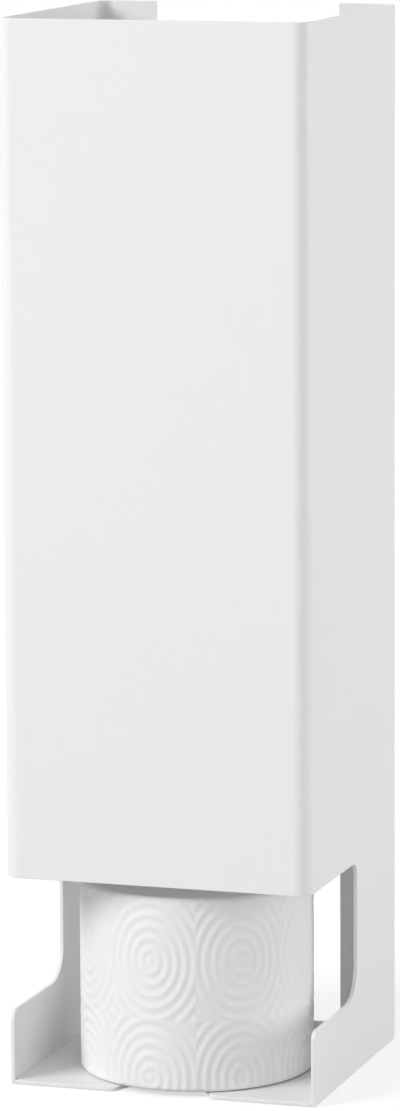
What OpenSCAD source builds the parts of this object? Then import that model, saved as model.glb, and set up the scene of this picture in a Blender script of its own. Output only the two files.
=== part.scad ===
// Wall-hung holder that keeps toilet rolls standing upright. One steel sheet is bent into a tall
// column that is open at the top, and a tray at its foot holds the roll that is taken out next.
// Millimetres, +Z up. The origin is the centre of the underside, -Y is the open front and the
// rear flanges lie against the wall at +Y.

/* [Toilet roll] */
// Diameter of the roll
roll_d = 116; // [95:1:130]
// Height of the roll, which is the width of its paper
roll_h = 96; // [90:1:110]
// Outer diameter of the cardboard core
core_d = 44; // [38:1:50]
// Wall of the cardboard core
core_t = 1.2; // [0.8:0.1:2]
// Radius of the roll's soft outer rims
roll_rim_r = 2.5; // [1:0.5:5]

/* [Room round the roll] */
// Room between the roll and each side wall
side_room = 17.5; // [8:0.5:25]
// Room between the roll and the rear flanges
rear_room = 31; // [6:1:40]
// Distance from the front panel's outer face back to the roll
roll_inset = 6; // [4:0.5:12]
// Height left between the roll and the front panel's lower edge
headroom = 6.8; // [4:0.2:15]

/* [Sheet] */
// Height of the column
column_h = 520; // [400:10:700]
// Thickness of the steel sheet
sheet_t = 2; // [1.2:0.1:2.5]
// Outer radius of the bends
bend_r = 8; // [4:0.5:10]
// Width of each rear flange from the side wall's outer face
flange_w = 30; // [26:1:40]

/* [Front opening] */
// Height of the tray's side walls above the underside
tray_wall_h = 37; // [25:1:50]
// Distance from the front panel's outer face back to the rear edge of the side windows
window_depth = 81; // [60:1:95]
// Radius of the windows' upper rear corners
window_top_r = 6; // [2:0.5:12]
// Radius of the windows' lower rear corners
window_low_r = 16; // [6:0.5:24]
// Radius of the tray walls' upper front corners
tray_corner_r = 5; // [1:0.5:8]

/* [Tray floor] */
// Height above the underside of the lip that is turned up along the floor's rear edge
floor_lip_h = 5; // [3:0.5:12]
// Width of the finger notch in the tray floor's front edge, without its rounded corners
notch_w = 48; // [36:1:60]
// Depth of the finger notch
notch_depth = 20; // [14:1:24]
// Radius of the rounded corners beside the notch
notch_corner_r = 4; // [1:0.5:6]

/* [Wall fixing] */
// Distance from the column's top edge down to the upper screws
upper_screw_drop = 49; // [30:1:80]
// Distance from the rear bends' inner end to the screws' axes
screw_inset = 7; // [6:0.5:9]
// Diameter of a screw's threaded shank
shank_d = 4; // [3:0.1:5]
// Length of a screw under its head
screw_l = 40; // [35:1:60]
// Diameter of a screw's head
head_d = 8; // [7:0.1:9]
// Height of a screw's head
head_h = 2.6; // [2:0.1:4]
// Room round the shank in its hole or slot
shank_room = 0.5; // [0.2:0.1:1]
// Room round the head in the wide end of a keyhole
head_room = 0.6; // [0.3:0.1:1]
// Distance from a keyhole's wide end up to the place where its screw sits
keyhole_rise = 10; // [8:0.5:14]

/* [Hidden] */
$fn = 96;
// Gap that keeps the loose roll just clear of the tray floor
seat_gap = 0.2;
// How far a cut runs past the face it opens
past = 5;
// Cross recess in the screws' heads
recess_w = 0.9;
recess_l = 4.4;
recess_depth = 1.4;
// Share of a head's height below its dome, and of a screw's length that tapers to its point
head_rim_share = 0.4;
point_l = 7;
point_d = 0.6;
// Diameter of the plain neck under a screw's head as a share of its thread's, and how far
// behind the flange the thread begins
neck_share = 0.75;
neck_past = 1;

column_w = roll_d + 2 * (side_room + sheet_t);
column_d = roll_inset + roll_d + rear_room + sheet_t;
front_y = -column_d / 2;
wall_y = column_d / 2;
flange_face_y = wall_y - sheet_t;
inner_w = column_w - 2 * sheet_t;
bend_x = column_w / 2 - bend_r;
// The tray's front edge stands where the front bends begin to leave the side walls
tray_front_y = front_y + bend_r;
window_rear_y = front_y + window_depth;
roll_y = front_y + roll_inset + roll_d / 2;
roll_z = sheet_t + seat_gap;
panel_bottom = roll_z + roll_h + headroom;
screw_x = bend_x - screw_inset;
upper_screw_z = column_h - upper_screw_drop;
lower_screw_z = (tray_wall_h + panel_bottom) / 2;
keyhole_z = upper_screw_z - keyhole_rise;
slot_d = shank_d + 2 * shank_room;

// A quarter of the bent sheet about the origin, between +X and the given side of Y
module bend(side) {
    intersection() {
        difference() {
            circle(bend_r);
            circle(bend_r - sheet_t);
        }
        translate([0, side < 0 ? -bend_r : 0]) square(bend_r);
    }
}

// Right half of the column seen from above: half the front panel, a side wall and a rear flange
module half_section() {
    translate([0, front_y]) square([bend_x, sheet_t]);
    translate([bend_x, front_y + bend_r]) bend(-1);
    translate([column_w / 2 - sheet_t, front_y + bend_r]) square([sheet_t, column_d - 2 * bend_r]);
    translate([bend_x, wall_y - bend_r]) bend(1);
    translate([column_w / 2 - flange_w, flange_face_y]) square([flange_w - bend_r, sheet_t]);
}

// What lies outside a quarter circle in its square, which fills an inner corner of a cut
// or trims an outer one. The corner point is the origin and the square reaches to +X and +Y.
module corner_fill(r) {
    difference() {
        square(r);
        translate([r, r]) circle(r);
    }
}

// Side view, Y to the right and Z up, of all that is cut away for the front opening
module opening_outline() {
    difference() {
        translate([front_y - past, tray_wall_h])
            square([window_depth + past, panel_bottom - tray_wall_h]);
        translate([window_rear_y, panel_bottom]) rotate(180) corner_fill(window_top_r);
        translate([window_rear_y, tray_wall_h]) mirror([1, 0]) corner_fill(window_low_r);
    }
    translate([front_y - past, -past])
        square([tray_front_y - front_y + past, panel_bottom + past]);
    translate([tray_front_y, tray_wall_h]) mirror([0, 1]) corner_fill(tray_corner_r);
}

// A straight hole through a rear flange, from the shaft's side to past the wall's plane
module flange_hole(x, z, d) {
    translate([x, flange_face_y - past, z]) rotate([-90, 0, 0]) cylinder(h = sheet_t + 2 * past, d = d);
}

// A keyhole: a wide end that lets the head through, and above it a slot for the shank
module keyhole(x) {
    flange_hole(x, keyhole_z, head_d + 2 * head_room);
    flange_hole(x, upper_screw_z, slot_d);
    translate([x - slot_d / 2, flange_face_y - past, keyhole_z])
        cube([slot_d, sheet_t + 2 * past, keyhole_rise]);
}

module column_shell() {
    color("whitesmoke") difference() {
        linear_extrude(column_h) {
            half_section();
            mirror([1, 0]) half_section();
        }
        rotate([90, 0, 90]) linear_extrude(column_w + 2 * past, center = true) opening_outline();
        for (side = [-1, 1]) {
            keyhole(side * screw_x);
            flange_hole(side * screw_x, lower_screw_z, slot_d);
        }
    }
}

// The finger notch seen from above: one arc, with a rounded corner where it meets the front edge
module notch_outline() {
    arc_r = (notch_w * notch_w / 4 + notch_depth * notch_depth) / (2 * notch_depth);
    arc_y = tray_front_y + notch_depth - arc_r;
    corner_y = tray_front_y + notch_corner_r;
    corner_x = sqrt(pow(arc_r + notch_corner_r, 2) - pow(corner_y - arc_y, 2));
    share = notch_corner_r / (arc_r + notch_corner_r);
    meet_x = corner_x * (1 - share);
    meet_y = corner_y + (arc_y - corner_y) * share;
    translate([0, arc_y]) circle(arc_r);
    difference() {
        polygon([[-corner_x, tray_front_y - past], [corner_x, tray_front_y - past],
                 [corner_x, tray_front_y], [meet_x, meet_y], [-meet_x, meet_y],
                 [-corner_x, tray_front_y]]);
        for (side = [-1, 1]) translate([side * corner_x, corner_y]) circle(notch_corner_r);
    }
}

module tray_floor() {
    lip_w = 2 * bend_x;
    color("whitesmoke") difference() {
        union() {
            linear_extrude(sheet_t) difference() {
                translate([-inner_w / 2, tray_front_y]) square([inner_w, flange_face_y - tray_front_y]);
                notch_outline();
                // The floor's two back corners follow the rear bends
                for (side = [0, 1]) mirror([side, 0])
                    translate([inner_w / 2, flange_face_y]) rotate(180) corner_fill(bend_r - sheet_t);
            }
            translate([-lip_w / 2, flange_face_y - sheet_t, 0]) cube([lip_w, sheet_t, floor_lip_h]);
        }
        // The lip's bend is rounded on its outside
        translate([0, flange_face_y, 0]) rotate([90, 0, 90])
            linear_extrude(lip_w, center = true) mirror([1, 0]) corner_fill(sheet_t);
    }
}

// Places its children at the four fixing points, with Z pointing into the wall
module at_screws() {
    for (side = [-1, 1], z = [lower_screw_z, upper_screw_z])
        translate([side * screw_x, flange_face_y, z]) rotate([-90, 0, 0]) children();
}

module wall_screw() {
    rim_h = head_h * head_rim_share;
    dome_h = head_h - rim_h;
    dome_r = (head_d * head_d / 4 + dome_h * dome_h) / (2 * dome_h);
    neck_l = sheet_t + neck_past;
    difference() {
        union() {
            cylinder(h = neck_l, d = shank_d * neck_share);
            translate([0, 0, neck_l]) cylinder(h = screw_l - point_l - neck_l, d = shank_d);
            translate([0, 0, screw_l - point_l]) cylinder(h = point_l, d1 = shank_d, d2 = point_d);
            translate([0, 0, -rim_h]) cylinder(h = rim_h, d = head_d);
            intersection() {
                translate([0, 0, dome_r - head_h]) sphere(dome_r);
                translate([0, 0, -head_h]) cylinder(h = dome_h, d = head_d);
            }
        }
        for (turn = [0, 90]) rotate(turn)
            translate([-recess_l / 2, -recess_w / 2, -head_h - past])
                cube([recess_l, recess_w, past + recess_depth]);
    }
}

module wall_screws() { color("silver") at_screws() wall_screw(); }

module roll_paper() {
    flat_r = roll_d / 2 - roll_rim_r;
    color("white") translate([0, roll_y, roll_z]) rotate_extrude() {
        translate([core_d / 2, 0]) square([flat_r - core_d / 2, roll_h]);
        translate([flat_r, roll_rim_r]) square([roll_rim_r, roll_h - 2 * roll_rim_r]);
        for (z = [roll_rim_r, roll_h - roll_rim_r]) intersection() {
            translate([flat_r, z]) circle(roll_rim_r);
            translate([flat_r, 0]) square([roll_rim_r, roll_h]);
        }
    }
}

module roll_core() {
    color("burlywood") translate([0, roll_y, roll_z]) difference() {
        cylinder(h = roll_h, d = core_d);
        translate([0, 0, -past]) cylinder(h = roll_h + 2 * past, d = core_d - 2 * core_t);
    }
}

column_shell();
tray_floor();
wall_screws();
roll_paper();
roll_core();
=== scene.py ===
"""Toilet roll storage holder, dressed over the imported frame: the powder-coated column and its tray
floor, the four wall screws, and the embossed roll on its cardboard core. Metres, in the frame's
axes: the origin is the centre of the underside, -Y is the open front and +Y is the wall."""

import bmesh
import bpy
import numpy as np
from mathutils import Matrix, Vector


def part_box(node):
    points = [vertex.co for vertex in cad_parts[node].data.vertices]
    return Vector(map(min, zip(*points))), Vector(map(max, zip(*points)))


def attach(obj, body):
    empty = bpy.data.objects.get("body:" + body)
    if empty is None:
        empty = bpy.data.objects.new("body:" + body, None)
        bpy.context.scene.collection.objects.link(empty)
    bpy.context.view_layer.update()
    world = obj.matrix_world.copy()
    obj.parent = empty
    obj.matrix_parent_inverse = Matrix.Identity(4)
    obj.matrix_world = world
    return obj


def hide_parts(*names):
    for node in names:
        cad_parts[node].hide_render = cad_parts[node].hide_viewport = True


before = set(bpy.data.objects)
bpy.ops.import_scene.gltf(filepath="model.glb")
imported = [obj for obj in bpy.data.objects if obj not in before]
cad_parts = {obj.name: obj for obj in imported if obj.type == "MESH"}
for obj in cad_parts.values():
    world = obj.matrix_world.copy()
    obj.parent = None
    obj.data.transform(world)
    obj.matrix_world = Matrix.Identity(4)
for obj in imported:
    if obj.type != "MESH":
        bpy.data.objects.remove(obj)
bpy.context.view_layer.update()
TAU = 2 * np.pi
MM = 0.001

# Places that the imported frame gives
paper_low, paper_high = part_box("roll_paper")
core_low, core_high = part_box("roll_core")
screws_low, screws_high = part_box("wall_screws")
ROLL_AXIS = ((paper_low.x + paper_high.x) / 2, (paper_low.y + paper_high.y) / 2)
ROLL_BOTTOM, ROLL_TOP = paper_low.z, paper_high.z
ROLL_R = (paper_high.x - paper_low.x) / 2
CORE_R = (core_high.x - core_low.x) / 2

# The sheets: the coat's roundness over a cut edge, what counts as an edge, and the place of the
# tray lip's cusps
COAT_EDGE = 0.35 * MM
EDGE_ANGLE = np.radians(40)
FLAT_ANGLE = np.radians(0.5)
LIP_END, LIP_FACE = 69.5 * MM, 75.5 * MM
CUSP_ACROSS, CUSP_DEEP, CUSP_TOP = 1 * MM, 3 * MM, 2.2 * MM

# The roll's wound web: its emboss, its layers and its cut ends
CREST_POWER = 1.4
EMBOSS = 0.46 * MM
LAYER = 0.3 * MM
OUT_OF_ROUND = 0.12 * MM
WRAP_SPARE = 0.1 * MM
WRAP_R = ROLL_R - EMBOSS - LAYER - WRAP_SPARE
RIM = 2.0 * MM
TAIL = np.radians(112)
RING_PITCH = 4.45 * MM
OVAL_COLUMNS = 8
OVAL_ANGLE = np.radians(-50)
ROW_PITCH = 58 * MM
ROW_HEIGHT = 66.5 * MM
OVAL_SQUEEZE = 0.77
CUT_PITCH, CUT_WANDER, CUT_CUP = 2.3 * MM, 0.12 * MM, 0.18 * MM

# The core: its board, the play round it, its spiral joints and its ragged ends
BOARD, CORE_PLAY = 1.2 * MM, 0.05 * MM
SPIRAL_LEAD, SPIRAL_COSINE = 62 * MM, 0.9
JOINT_W, JOINT_D = 0.9 * MM, 0.22 * MM
RAGGED, RAGGED_REACH = 0.1 * MM, 2 * MM

# The wall screws: pan heads with a cross recess, a plain neck and a coarse thread
HEAD_R, HEAD_RIM, HEAD_TOP, HEAD_EDGE = 4.0 * MM, 1.04 * MM, 2.6 * MM, 0.15 * MM
NECK_R, NECK_END = 1.5 * MM, 3.0 * MM
THREAD_R, THREAD_ROOT, THREAD_PITCH = 2.0 * MM, 1.3 * MM, 1.8 * MM
POINT_START, TIP, TIP_SHRINK = 33.0 * MM, 40.0 * MM, 0.96
RECESS_L, RECESS_W, RECESS_D = 4.4 * MM, 0.9 * MM, 1.2 * MM
RECESS_END, RECESS_FLOOR, RECESS_MOUTH = 0.82, 0.6, 1.4
SCREW_X = (screws_high.x - screws_low.x) / 2 - HEAD_R
SCREW_LOW, SCREW_HIGH = screws_low.z + HEAD_R, screws_high.z - HEAD_R
SCREW_SEAT = screws_high.y - TIP
SCREW_CREASE = np.radians(65)


def smooth(value, low, high):
    """0 up to low, 1 from high on, and 3t^2 - 2t^3 between them."""
    t = np.clip((value - low) / (high - low), 0, 1)
    return t * t * (3 - 2 * t)


def ridge(turns):
    """A row of soft ridges, one a turn: a raised cosine from 0 to 1, drawn in to a narrow crest."""
    return (0.5 + 0.5 * np.cos(TAU * turns)) ** CREST_POWER


def spread(count):
    """A column of even steps from 0 to 1."""
    return np.linspace(0, 1, count)[:, None]


def inward(height, low, high):
    """The way from the nearer end into an upright form: +1 in its lower half, -1 in its upper."""
    return np.where(height > (low + high) / 2, -1, 1)


def scene_object(name, mesh):
    """An object at the origin that shows a mesh, shaded smooth."""
    mesh.shade_smooth()
    obj = bpy.data.objects.new(name, mesh)
    bpy.context.scene.collection.objects.link(obj)
    return obj


def grid_object(name, points, closed_rows=False, closed_cols=False, plan=None, marks=None):
    """An object whose mesh joins each point of a grid (rows, columns, 3) to the next both ways.

    The front of a face is the side from which columns run anticlockwise of rows. plan holds each
    grid point's place on the unrolled surface, and has one more row or column than points where
    that way is closed. marks holds named values of the points."""
    rows, cols = points.shape[:2]
    i, j = np.meshgrid(np.arange(rows if closed_rows else rows - 1),
                       np.arange(cols if closed_cols else cols - 1), indexing="ij")
    corners_i = np.stack([i, i, i + 1, i + 1], -1).reshape(-1, 4)
    corners_j = np.stack([j, j + 1, j + 1, j], -1).reshape(-1, 4)
    corners = (corners_i % rows) * cols + corners_j % cols
    mesh = bpy.data.meshes.new(name)
    mesh.vertices.add(rows * cols)
    mesh.vertices.foreach_set("co", points.reshape(-1).astype(np.float32))
    mesh.loops.add(corners.size)
    mesh.loops.foreach_set("vertex_index", corners.reshape(-1).astype(np.int32))
    mesh.polygons.add(len(corners))
    mesh.polygons.foreach_set("loop_start", np.arange(0, corners.size, 4, dtype=np.int32))
    mesh.update(calc_edges=True)
    if plan is not None:
        layer = mesh.uv_layers.new(name="unrolled")
        layer.uv.foreach_set("vector", plan[corners_i, corners_j].reshape(-1).astype(np.float32))
    for mark, values in (marks or {}).items():
        attribute = mesh.attributes.new(mark, "FLOAT", "POINT")
        attribute.data.foreach_set("value", values.reshape(-1).astype(np.float32))
    mesh.validate()
    return scene_object(name, mesh)


def turned(radius, height, angle, axis=(0, 0)):
    """Points of a turned form: (r cos a, r sin a, h) about an upright axis. Rows run along the
    profile and columns round the axis."""
    angle = np.broadcast_to(angle, radius.shape)
    x, y = axis[0] + radius * np.cos(angle), axis[1] + radius * np.sin(angle)
    return np.stack([x, y, height], -1)


def join_points(obj):
    """Joins the points that lie in one place, as at the poles and the seam of a turned form."""
    bm = bmesh.new()
    bm.from_mesh(obj.data)
    bmesh.ops.remove_doubles(bm, verts=bm.verts, dist=1e-7)
    bm.to_mesh(obj.data)
    bm.free()


def sheet_object(name, node, left_sharp=None):
    """A merged copy of a CAD sheet whose cut edges are rounded, as a powder coat rounds them.

    Loose triangles are joined and flat areas made whole, then a bevel turns each edge into an
    arc, apart from those whose middle is left sharp. Normals lean to the larger face, so that
    the flats stay flat up to the arcs."""
    bm = bmesh.new()
    bm.from_mesh(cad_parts[node].data)
    bmesh.ops.remove_doubles(bm, verts=bm.verts, dist=2e-6)
    bmesh.ops.dissolve_limit(bm, angle_limit=FLAT_ANGLE, verts=bm.verts, edges=bm.edges)
    weight = bm.edges.layers.float.new("bevel_weight_edge")
    for line in bm.edges:
        middle = (line.verts[0].co + line.verts[1].co) / 2
        spared = left_sharp is not None and left_sharp(middle)
        line[weight] = float(line.calc_face_angle(0) > EDGE_ANGLE and not spared)
    mesh = bpy.data.meshes.new(name)
    bm.to_mesh(mesh)
    bm.free()
    obj = scene_object(name, mesh)
    bevel = obj.modifiers.new("rounded edges", "BEVEL")
    bevel.width = COAT_EDGE
    bevel.segments = 3
    bevel.limit_method = "WEIGHT"
    bevel.use_clamp_overlap = False
    even = obj.modifiers.new("flats stay flat", "WEIGHTED_NORMAL")
    even.mode = "FACE_AREA"
    even.weight = 90
    return obj


def lip_cusp(place):
    """Whether an edge's middle lies where the tray lip's bend ends in a cusp against the floor's
    back corners. A bevel would fold over there."""
    across = abs(abs(place.x) - LIP_END) < CUSP_ACROSS
    return across and place.y > LIP_FACE - CUSP_DEEP and place.z < CUSP_TOP


# A Mix node has a set of sockets for each kind of value: these are the colours'
MIX_FIRST, MIX_SECOND, MIX_RESULT = 6, 7, 2


def node(tree, kind, inputs=None, **settings):
    """Adds a shader node. An input is a plain value or another node's output socket."""
    made = tree.nodes.new(kind)
    for key, value in settings.items():
        setattr(made, key, value)
    for key, value in (inputs or {}).items():
        if isinstance(value, bpy.types.NodeSocket):
            tree.links.new(value, made.inputs[key])
        else:
            made.inputs[key].default_value = value
    return made


def sized_noise(tree, place, size, detail):
    """Noise whose blobs have the given size in metres: the place is divided by the size first."""
    scaled = node(tree, "ShaderNodeVectorMath", {0: place, 1: size}, operation="DIVIDE")
    return node(tree, "ShaderNodeTexNoise",
                {"Vector": scaled.outputs[0], "Scale": 1.0, "Detail": detail}).outputs["Fac"]


def surface_drift_group():
    """A fine relief and a slow unevenness of any coated, plated or pressed surface.

    Relief is noise of the fine size with finer noise on it, and Drift is noise of the broad
    size."""
    tree = bpy.data.node_groups.new("surface drift", "ShaderNodeTree")
    for label in ("Place", "Fine Size", "Broad Size"):
        tree.interface.new_socket(label, in_out="INPUT", socket_type="NodeSocketVector")
    for label in ("Relief", "Drift"):
        tree.interface.new_socket(label, in_out="OUTPUT", socket_type="NodeSocketFloat")
    given, made = tree.nodes.new("NodeGroupInput"), tree.nodes.new("NodeGroupOutput")
    for size, result, detail in (("Fine Size", "Relief", 3.0), ("Broad Size", "Drift", 1.0)):
        noise = sized_noise(tree, given.outputs["Place"], given.outputs[size], detail)
        tree.links.new(noise, made.inputs[result])
    return tree


SURFACE_DRIFT = surface_drift_group()


def drift(tree, place, fine, broad):
    """The surface drift group in a material, with this material's own sizes in metres."""
    made = tree.nodes.new("ShaderNodeGroup")
    made.node_tree = SURFACE_DRIFT
    tree.links.new(place, made.inputs["Place"])
    made.inputs["Fine Size"].default_value = fine
    made.inputs["Broad Size"].default_value = broad
    return made.outputs["Relief"], made.outputs["Drift"]


def between(tree, value, low, high, from_low=0.0, from_high=1.0):
    """A value carried from one range to another."""
    return node(tree, "ShaderNodeMapRange",
                {"Value": value, "From Min": from_low, "From Max": from_high,
                 "To Min": low, "To Max": high}).outputs["Result"]


def shade(tree, share, first, second):
    """A colour between two, by a value from 0 to 1. Each is a triple or another node's output."""
    ends = [end if isinstance(end, bpy.types.NodeSocket) else (*end, 1)
            for end in (first, second)]
    return node(tree, "ShaderNodeMix", {"Factor": share, MIX_FIRST: ends[0], MIX_SECOND: ends[1]},
                data_type="RGBA").outputs[MIX_RESULT]


def new_material(name, **fixed):
    """A material with one Principled BSDF whose fixed inputs are set, its tree and its place."""
    material = bpy.data.materials.new(name)
    material.use_nodes = True
    tree = material.node_tree
    tree.nodes.clear()
    surface = node(tree, "ShaderNodeBsdfPrincipled",
                   {key.replace("_", " "): value for key, value in fixed.items()})
    out = tree.nodes.new("ShaderNodeOutputMaterial")
    tree.links.new(surface.outputs["BSDF"], out.inputs["Surface"])
    place = tree.nodes.new("ShaderNodeTexCoord").outputs["Object"]
    return material, tree, surface, place


def finish(tree, surface, colour, roughness, height, depth):
    """Gives a surface its colour, its roughness and a relief of the given real depth in metres."""
    relief = node(tree, "ShaderNodeBump", {"Height": height, "Strength": 1.0, "Distance": depth})
    tree.links.new(colour, surface.inputs["Base Color"])
    tree.links.new(roughness, surface.inputs["Roughness"])
    tree.links.new(relief.outputs["Normal"], surface.inputs["Normal"])


def powder_coat(name, cloud):
    """Fine matt white powder coat: a skin with the slight orange peel of fused powder, and colour
    and gloss that hardly vary over the sheet, in clouds of the given size."""
    peel, peel_depth = 0.9 * MM, 0.05 * MM
    material, tree, surface, place = new_material(name, Specular_IOR_Level=0.45)
    relief, slow = drift(tree, place, (peel,) * 3, (cloud,) * 3)
    white = shade(tree, slow, (0.835, 0.836, 0.838), (0.862, 0.862, 0.861))
    finish(tree, surface, white, between(tree, relief, 0.36, 0.52), relief, peel_depth)
    return material


def tissue():
    """Soft tissue: crepe lines along the roll's height, loose fibres, and at the cut ends the thin
    edges of the wound layers, with painted shade darkening the valleys between them."""
    fibre, cloud, fluff_depth = 0.5 * MM, 20 * MM, 0.07 * MM
    crepe_across, crepe_along = 0.55 * MM, 9 * MM
    layers_per_metre = 2600.0
    material, tree, surface, place = new_material(
        "embossed tissue", Specular_IOR_Level=0.15, Sheen_Weight=0.12)
    cut = node(tree, "ShaderNodeAttribute", attribute_name="cut_end").outputs["Fac"]
    relief, slow = drift(tree, place, (fibre,) * 3, (cloud,) * 3)
    unrolled = node(tree, "ShaderNodeUVMap", uv_map="unrolled").outputs["UV"]
    crepe = sized_noise(tree, unrolled, (crepe_across, crepe_along, 1.0), 2.0)
    about = node(tree, "ShaderNodeMapping",
                 {"Vector": place, "Location": (-ROLL_AXIS[0], -ROLL_AXIS[1], 0)}).outputs[0]
    flat = node(tree, "ShaderNodeVectorMath", {0: about, 1: (1, 1, 0)}, operation="MULTIPLY")
    reach = node(tree, "ShaderNodeVectorMath", {0: flat.outputs[0]}, operation="LENGTH")
    rings = node(tree, "ShaderNodeTexNoise",
                 {"W": reach.outputs["Value"], "Scale": layers_per_metre, "Detail": 1.0},
                 noise_dimensions="1D").outputs["Fac"]
    fine = node(tree, "ShaderNodeMix", {"Factor": cut, "A": crepe, "B": rings}).outputs["Result"]
    height = node(tree, "ShaderNodeMath", {0: fine, 1: relief}, operation="ADD").outputs[0]
    # At the cut ends the rings also darken the colour between the layer edges: painted shade in
    # their valleys, on the same rings as the relief
    layers = shade(tree, rings, (0.74, 0.74, 0.725), (0.88, 0.88, 0.87))
    wrap = shade(tree, slow, (0.862, 0.862, 0.85), (0.882, 0.882, 0.874))
    finish(tree, surface, shade(tree, cut, wrap, layers), between(tree, relief, 0.86, 0.98),
           height, fluff_depth)
    return material


def core_board():
    """Raw grey-brown board: pressed fibres, long flecks, and a darker line in each spiral joint."""
    fleck_across, fleck_along, cloud, fleck_depth = 0.6 * MM, 2.5 * MM, 12 * MM, 0.06 * MM
    material, tree, surface, place = new_material("wound core board", Specular_IOR_Level=0.2)
    relief, slow = drift(tree, place, (fleck_across, fleck_across, fleck_along), (cloud,) * 3)
    joint = node(tree, "ShaderNodeAttribute", attribute_name="joint").outputs["Fac"]
    board = shade(tree, slow, (0.47, 0.385, 0.295), (0.6, 0.51, 0.41))
    fleck = between(tree, relief, 0.0, 0.55, 0.58, 0.72)
    flecked = shade(tree, fleck, board, (0.36, 0.285, 0.21))
    lined = shade(tree, joint, flecked, (0.25, 0.19, 0.135))
    finish(tree, surface, lined, between(tree, relief, 0.78, 0.95), relief, fleck_depth)
    return material


def zinc():
    """Bright zinc plating on steel: a slightly cloudy metal, duller where the zinc is thicker."""
    grain, cloud, grain_depth = 0.4 * MM, 4 * MM, 0.01 * MM
    material, tree, surface, place = new_material("bright zinc", Metallic=1.0)
    relief, slow = drift(tree, place, (grain,) * 3, (cloud,) * 3)
    steel = shade(tree, slow, (0.54, 0.55, 0.56), (0.68, 0.69, 0.69))
    finish(tree, surface, steel, between(tree, slow, 0.24, 0.42), relief, grain_depth)
    return material


def dress(obj, material, body, nodes):
    """Gives a piece its finish and its body, and hides the CAD node that it stands for."""
    obj.data.materials.clear()
    obj.data.materials.append(material)
    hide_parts(nodes)
    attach(obj, body)


def embossed(angle, height):
    """The tissue's pattern, 0 to 1: ridges in nested upright ovals, which meet those of the ovals
    beside, above and below.

    The ovals' middles lie on an even lattice round the roll. A ridge stands at each whole number
    of pitches of the reach, the distance from the nearest middle with its height squeezed."""
    step = TAU / OVAL_COLUMNS
    aside = ((angle - OVAL_ANGLE + step / 2) % step - step / 2) * WRAP_R
    rise = (height - ROW_HEIGHT + ROW_PITCH / 2) % ROW_PITCH - ROW_PITCH / 2
    return ridge(np.hypot(aside, OVAL_SQUEEZE * rise) / RING_PITCH)


def roll_web():
    """The wound paper as one closed form: a profile in radius and height, carried round the roll.

    The profile runs out along the bottom end, round its rim, up the outside, round the upper rim,
    in along the top end and down the bore. The radius grows by one layer over a turn, so that the
    web's tail ends in a step, and the pattern is added to it on the outside. The ends rise and
    fall a little with the turn that they belong to, as cut layers do."""
    cols, bottom_rows, rim_steps, side_rows, top_rows = 440, 11, 7, 122, 55
    low, high = ROLL_BOTTOM, ROLL_TOP
    angle = TAIL + np.linspace(0, TAU, cols)[None, :]
    turn = np.linspace(0, 1, cols)[None, :]
    edge = WRAP_R + LAYER * turn + OUT_OF_ROUND * (np.sin(3 * angle + 0.6) - 1)
    ones = np.ones_like(edge)
    bore = np.full_like(edge, CORE_R)
    arc = spread(rim_steps)[1:-1] * np.pi / 2
    flat = WRAP_R - RIM - 1 * MM
    radius = np.concatenate([
        bore + (flat - bore) * spread(bottom_rows),
        edge - RIM,
        edge - RIM + RIM * np.sin(arc),
        edge * np.ones((side_rows, 1)),
        edge - RIM + RIM * np.cos(arc),
        edge - RIM,
        flat + (bore - flat) * spread(top_rows)])
    height = np.concatenate([
        low * ones * np.ones((bottom_rows + 1, 1)),
        low + RIM - RIM * np.cos(arc) * ones,
        (low + RIM + (high - low - 2 * RIM) * spread(side_rows)) * ones,
        high - RIM + RIM * np.sin(arc) * ones,
        high * ones * np.ones((top_rows + 1, 1))])
    on_side = np.zeros_like(radius)
    on_side[bottom_rows + 1:-(top_rows + 1)] = 1
    radius = radius + on_side * EMBOSS * embossed(angle, height) \
        * smooth(height, low, low + RIM) * smooth(-height, -high, -high + RIM)

    wound = (radius - CORE_R) / CUT_PITCH - turn
    layer = np.round(wound)
    along = layer + turn
    uneven = np.sin(2.1 * along) * np.sin(0.73 * along + 1.0) + 0.5 * np.sin(5.3 * along)
    inset = CUT_WANDER * (1 + uneven / 1.5) + CUT_CUP * np.abs(2 * (wound - layer)) ** 3
    ends = (1 - on_side) * smooth(radius, CORE_R, CORE_R + 1 * MM) \
        * smooth(-radius, -(flat + 0.5 * MM), -(flat - 1.5 * MM))
    height = height + inward(height, low, high) * inset * ends

    step = np.hypot(np.diff(radius, axis=0, append=radius[:1]),
                    np.diff(height, axis=0, append=height[:1]))
    run = np.concatenate([[0], np.cumsum(step.mean(1))])
    plan = np.stack(np.broadcast_arrays(
        np.linspace(0, TAU * WRAP_R, cols + 1)[None, :], run[:, None]), -1)
    obj = grid_object("roll_paper_web", turned(radius, height, angle, ROLL_AXIS), True, True,
                      plan, {"cut_end": 1 - on_side})
    join_points(obj)
    return obj


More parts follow.
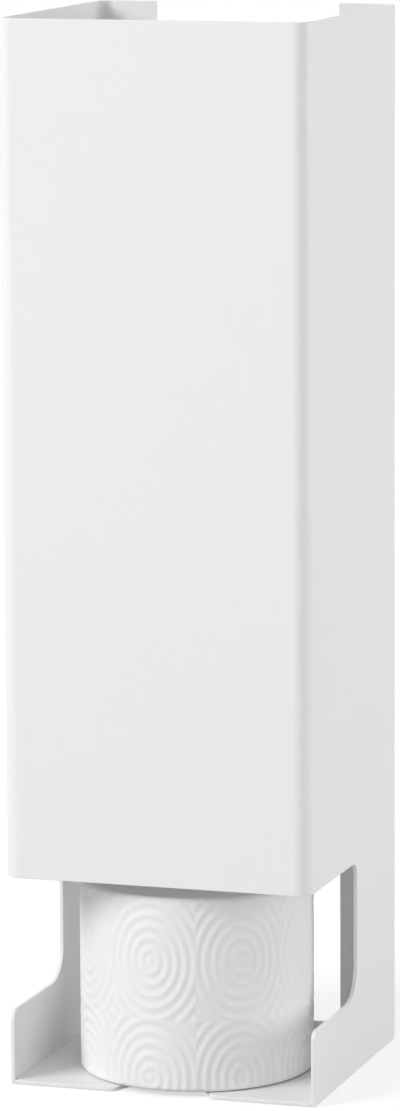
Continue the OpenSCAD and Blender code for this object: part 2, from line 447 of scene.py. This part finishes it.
def core_tube():
    """The cardboard core as one closed form: a profile carried round the roll's axis, whose
    columns climb one lead a turn.

    The board is two strips wound in that spiral. Each leaves a shallow groove where its edges
    meet, on the inside at one place and on the outside half a lead further on."""
    cols, rows = 144, 96
    low, high = core_low.z, core_high.z
    start = np.linspace(0, TAU, cols, endpoint=False)[None, :]
    rise = np.linspace(low, high, rows)[:, None]
    ones = np.ones_like(start)
    height = np.concatenate([rise * ones, rise[::-1] * ones])
    angle = start + TAU * height / SPIRAL_LEAD
    inner = np.concatenate([np.zeros((rows, 1)), np.ones((rows, 1))]) * ones
    off = (inner / 2 - start / TAU + 0.5) % 1 - 0.5
    joint = 1 - smooth(np.abs(off) * SPIRAL_LEAD * SPIRAL_COSINE, JOINT_W / 4, JOINT_W)
    radius = np.where(inner > 0, CORE_R - BOARD + JOINT_D * joint,
                      CORE_R - CORE_PLAY - JOINT_D * joint)
    ragged = RAGGED * (1 + np.sin(7 * angle + 0.4) * np.sin(13 * angle))
    at_end = np.minimum(height - low, high - height)
    height = height + inward(height, low, high) * ragged * (1 - smooth(at_end, 0, RAGGED_REACH))
    return grid_object("roll_core_tube", turned(radius, height, angle, ROLL_AXIS), True, True,
                       marks={"joint": joint})


def screw_points():
    """One screw about its own axis, its head's underside at 0 and its tip at +40 mm.

    A profile in radius and length runs from the middle of the head's dome out to the rim, in under
    the head, along the neck and thread and in to the tip. The dome is a sphere's cap, lowered by
    the recess inside a cross. The thread is a ridge over the root, whose crest climbs one pitch a
    turn, and root and ridge shrink together over the point. The shank's columns lie in pairs on
    each other, so that it gets half as many faces round as the head once its points are joined."""
    cols, dome_rows, shank_rows = 96, 44, 290
    angle = np.linspace(0, TAU, cols, endpoint=False)[None, :]
    paired = np.repeat(angle[:, ::2], 2, axis=1)
    ones = np.ones_like(angle)
    dome_h = HEAD_TOP - HEAD_RIM
    dome_r = (HEAD_R ** 2 + dome_h ** 2) / (2 * dome_h)
    r = np.linspace(0, HEAD_R, dome_rows)[:, None] * ones
    cap = -HEAD_TOP + dome_r - np.sqrt(dome_r ** 2 - r ** 2)
    x, y = np.abs(r * np.cos(angle)), np.abs(r * np.sin(angle))
    long_side, short_side = np.maximum(x, y), np.minimum(x, y)
    cross = (1 - smooth(long_side, RECESS_L / 2 * RECESS_END, RECESS_L / 2)) \
        * (1 - smooth(short_side, RECESS_W / 2 * RECESS_FLOOR, RECESS_W / 2 * RECESS_MOUTH))
    cap = cap + RECESS_D * cross
    rim_r = np.array([HEAD_R, HEAD_R, HEAD_R - HEAD_EDGE])[:, None] * ones
    rim_z = np.array([-HEAD_RIM * 0.6, -HEAD_EDGE, 0])[:, None] * ones
    length = np.concatenate([[0], np.linspace(0.6 * MM, TIP, shank_rows)])[:, None] * ones
    crest = ridge(length / THREAD_PITCH - paired / TAU)
    taper = 1 - smooth(length, POINT_START, TIP + 2 * MM) * TIP_SHRINK
    starts = smooth(length, NECK_END, NECK_END + THREAD_PITCH)
    root = NECK_R + (THREAD_ROOT - NECK_R) * smooth(length, NECK_END, NECK_END + 1 * MM)
    shank = (root + (THREAD_R - root) * crest * starts) * taper
    shank[-1] = 0
    around = np.concatenate([np.repeat(angle, len(r) + len(rim_r), 0),
                             np.repeat(paired, len(shank), 0)])
    return turned(np.concatenate([r, rim_r, shank]), np.concatenate([cap, rim_z, length]), around)


def wall_screws():
    """Four screws in one mesh: a screw's own X, Y and length become X, -Z and +Y of the frame."""
    one = screw_points()
    laid = np.stack([one[..., 0], one[..., 2], -one[..., 1]], -1)
    bm = bmesh.new()
    for x in (-SCREW_X, SCREW_X):
        for z in (SCREW_LOW, SCREW_HIGH):
            screw = grid_object("screw", laid + (x, SCREW_SEAT, z), closed_cols=True)
            bm.from_mesh(screw.data)
            bpy.data.meshes.remove(screw.data)
    mesh = bpy.data.meshes.new("wall_screw_set")
    bm.to_mesh(mesh)
    bm.free()
    obj = scene_object("wall_screw_set", mesh)
    join_points(obj)
    mesh.set_sharp_from_angle(angle=SCREW_CREASE)
    return obj


dress(sheet_object("column_sheet", "column_shell"),
      powder_coat("white powder coat, column", 160 * MM), "holder", "column_shell")
dress(sheet_object("tray_floor_sheet", "tray_floor", lip_cusp),
      powder_coat("white powder coat, tray", 70 * MM), "holder", "tray_floor")
dress(roll_web(), tissue(), "roll", "roll_paper")
dress(core_tube(), core_board(), "roll", "roll_core")
dress(wall_screws(), zinc(), "holder", "wall_screws")

# The stage: the surround's level, the floor's half width, drop under the object and tone, the
# share of white that the camera sees in it, and that white's strength at two distances
WHITE = (1, 1, 1, 1)
AIR_LEVEL = 0.45
FLOOR_HALF, FLOOR_DROP, FLOOR_TONE = 6.0, 0.2 * MM, 0.55
GLOW_SHARE = 0.25
GLOW_REACH, GLOW_STRENGTH = (0.2, 2.5), (2.5, 3.3)

# Soft lights: name, bearing from the open front, positive to the right, and climb above the level,
# in degrees, then distance, width, watts and the point they are aimed at
MIDDLE, TRAY = (0, 0, 0.27), (0, 0, 0.05)
SOFT_LIGHTS = (
    ("key", -45, 32, 3.0, 1.4, 56, MIDDLE),
    ("rear left", -145, 20, 3.0, 1.4, 11, MIDDLE),
    ("right", 110, 10, 3.0, 1.4, 31, MIDDLE),
    ("low front", 8, 6, 1.2, 0.6, 1.4, TRAY),
    ("low right", 60, 5, 1.2, 0.6, 0.6, TRAY),
)

# The camera, fitted to the object's straight edges: place in metres, yaw, pitch and roll in
# degrees, focal length and picture height in pixels, and the sensor's height in millimetres
CAMERA_PLACE = (0.7943, -2.4545, 0.6708)
CAMERA_TURNS = (17.964, 9.17, -0.311)
FOCAL_PIXELS, PICTURE_PIXELS, SENSOR_HEIGHT = 5339.3, 1111, 36


def seen_directly(tree):
    """1 for rays from the camera, in reflections and in glass, and 0 for rays that light things."""
    path = tree.nodes.new("ShaderNodeLightPath")
    seen = path.outputs["Is Camera Ray"]
    for other in ("Is Glossy Ray", "Is Transmission Ray"):
        seen = node(tree, "ShaderNodeMath", {0: seen, 1: path.outputs[other]},
                    operation="MAXIMUM").outputs[0]
    return seen


def studio_air():
    """A white surround for the eye and in reflections, which lights the object less brightly."""
    world = bpy.data.worlds.new("studio air")
    world.use_nodes = True
    tree = world.node_tree
    tree.nodes.clear()
    white = node(tree, "ShaderNodeBackground", {"Color": WHITE, "Strength": 1.0})
    lit = node(tree, "ShaderNodeBackground", {"Color": WHITE, "Strength": AIR_LEVEL})
    mix = node(tree, "ShaderNodeMixShader",
               {0: seen_directly(tree), 1: lit.outputs[0], 2: white.outputs[0]})
    out = tree.nodes.new("ShaderNodeOutputWorld")
    tree.links.new(mix.outputs[0], out.inputs["Surface"])
    bpy.context.scene.world = world


def studio_floor():
    """A level pale floor. For the camera a share of it glows white, more further out, so that it
    meets the white surround without an edge and still shows the object's shadow."""
    ends = np.linspace(-FLOOR_HALF, FLOOR_HALF, 3)
    x, y = np.meshgrid(ends, ends)
    obj = grid_object("studio_floor", np.stack([x, y, np.full_like(x, -FLOOR_DROP)], -1))
    material, tree, surface, place = new_material("pale studio floor", Roughness=0.9)
    surface.inputs["Base Color"].default_value = (FLOOR_TONE, FLOOR_TONE, FLOOR_TONE, 1)
    reach = node(tree, "ShaderNodeVectorMath", {0: place}, operation="LENGTH").outputs["Value"]
    glow = node(tree, "ShaderNodeEmission", {
        "Color": WHITE, "Strength": between(tree, reach, *GLOW_STRENGTH, *GLOW_REACH)})
    part = node(tree, "ShaderNodeMath", {0: seen_directly(tree), 1: GLOW_SHARE},
                operation="MULTIPLY")
    mix = node(tree, "ShaderNodeMixShader",
               {0: part.outputs[0], 1: surface.outputs[0], 2: glow.outputs[0]})
    out = next(made for made in tree.nodes if made.bl_idname == "ShaderNodeOutputMaterial")
    tree.links.new(mix.outputs[0], out.inputs["Surface"])
    obj.data.materials.append(material)


def soft_light(name, bearing, climb, reach, size, watts, aim):
    """A square soft light at a bearing and climb from the point that it is aimed at."""
    lamp = bpy.data.lights.new(name, "AREA")
    lamp.shape = "SQUARE"
    lamp.size = size
    lamp.energy = watts
    turn, tilt = np.radians(bearing), np.radians(climb)
    way = Vector((np.sin(turn) * np.cos(tilt), -np.cos(turn) * np.cos(tilt), np.sin(tilt)))
    obj = bpy.data.objects.new(name, lamp)
    obj.matrix_world = Matrix.Translation(Vector(aim) + way * reach) \
        @ way.to_track_quat("Z", "Y").to_matrix().to_4x4()
    bpy.context.scene.collection.objects.link(obj)


def photo_camera():
    """The photograph's view. Yaw turns the camera from +Y towards -X, pitch down, and roll round
    its own line of sight."""
    yaw, pitch, roll = np.radians(CAMERA_TURNS)
    forward = Vector((-np.sin(yaw) * np.cos(pitch), np.cos(yaw) * np.cos(pitch), -np.sin(pitch)))
    right = Vector((np.cos(yaw), np.sin(yaw), 0))
    up = right.cross(forward)
    side = right * np.cos(roll) + up * np.sin(roll)
    top = up * np.cos(roll) - right * np.sin(roll)
    lens = bpy.data.cameras.new("photo view")
    lens.sensor_fit = "VERTICAL"
    lens.sensor_height = SENSOR_HEIGHT
    lens.lens = SENSOR_HEIGHT * FOCAL_PIXELS / PICTURE_PIXELS
    obj = bpy.data.objects.new("photo view", lens)
    turn = Matrix((side, top, -forward)).transposed().to_4x4()
    obj.matrix_world = Matrix.Translation(CAMERA_PLACE) @ turn
    bpy.context.scene.collection.objects.link(obj)
    bpy.context.scene.camera = obj


studio_air()
studio_floor()
for light in SOFT_LIGHTS:
    soft_light(*light)
photo_camera()
bpy.context.scene.view_settings.view_transform = "Standard"
